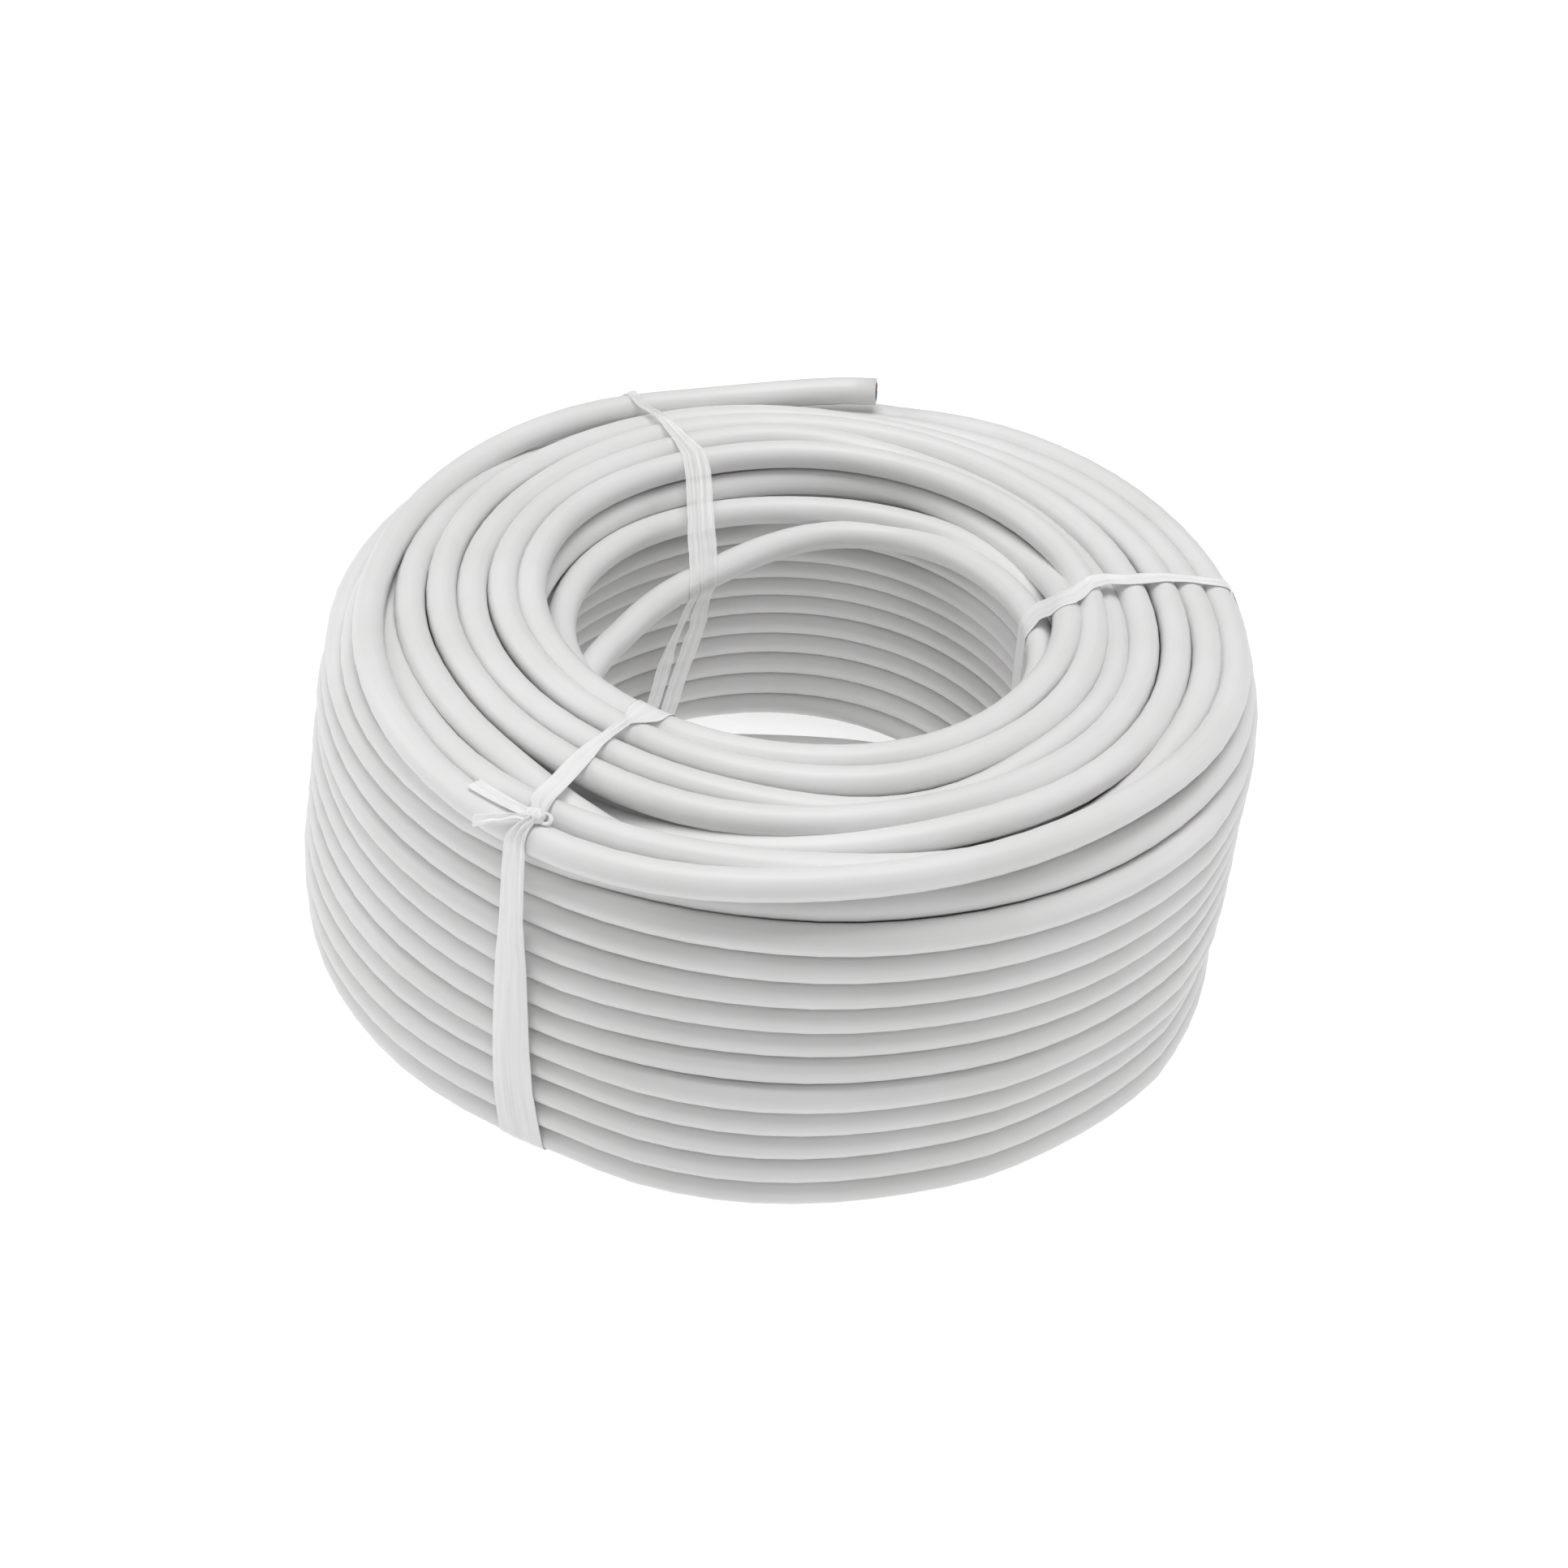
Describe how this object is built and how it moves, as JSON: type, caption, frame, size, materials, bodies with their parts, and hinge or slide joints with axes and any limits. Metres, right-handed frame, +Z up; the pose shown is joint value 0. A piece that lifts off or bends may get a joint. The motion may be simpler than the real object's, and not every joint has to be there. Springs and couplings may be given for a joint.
{
  "type": "coil of electrical cable",
  "caption": "Loosely wound coil of round white sheathed electrical cable lying flat, with a slack inner turn, a cut outer end and thin film ties holding the turns.",
  "frame": {"origin": "centre of the bounding box in plan, on the floor the coil lies on", "axes": "+Z up along the axis of the bore, -Y toward the side the slack turn leaves open, +X toward the right tie"},
  "size_m": [0.2954, 0.2948, 0.1324],
  "materials": {
    "sheath": "smooth satin sheath",
    "film": "thin glossy film"
  },
  "bodies": {
    "root": {"cable_coil": "sheath", "tie_right": "film", "tie_back": "film", "tie_front": "film"}
  },
  "joints": []
}
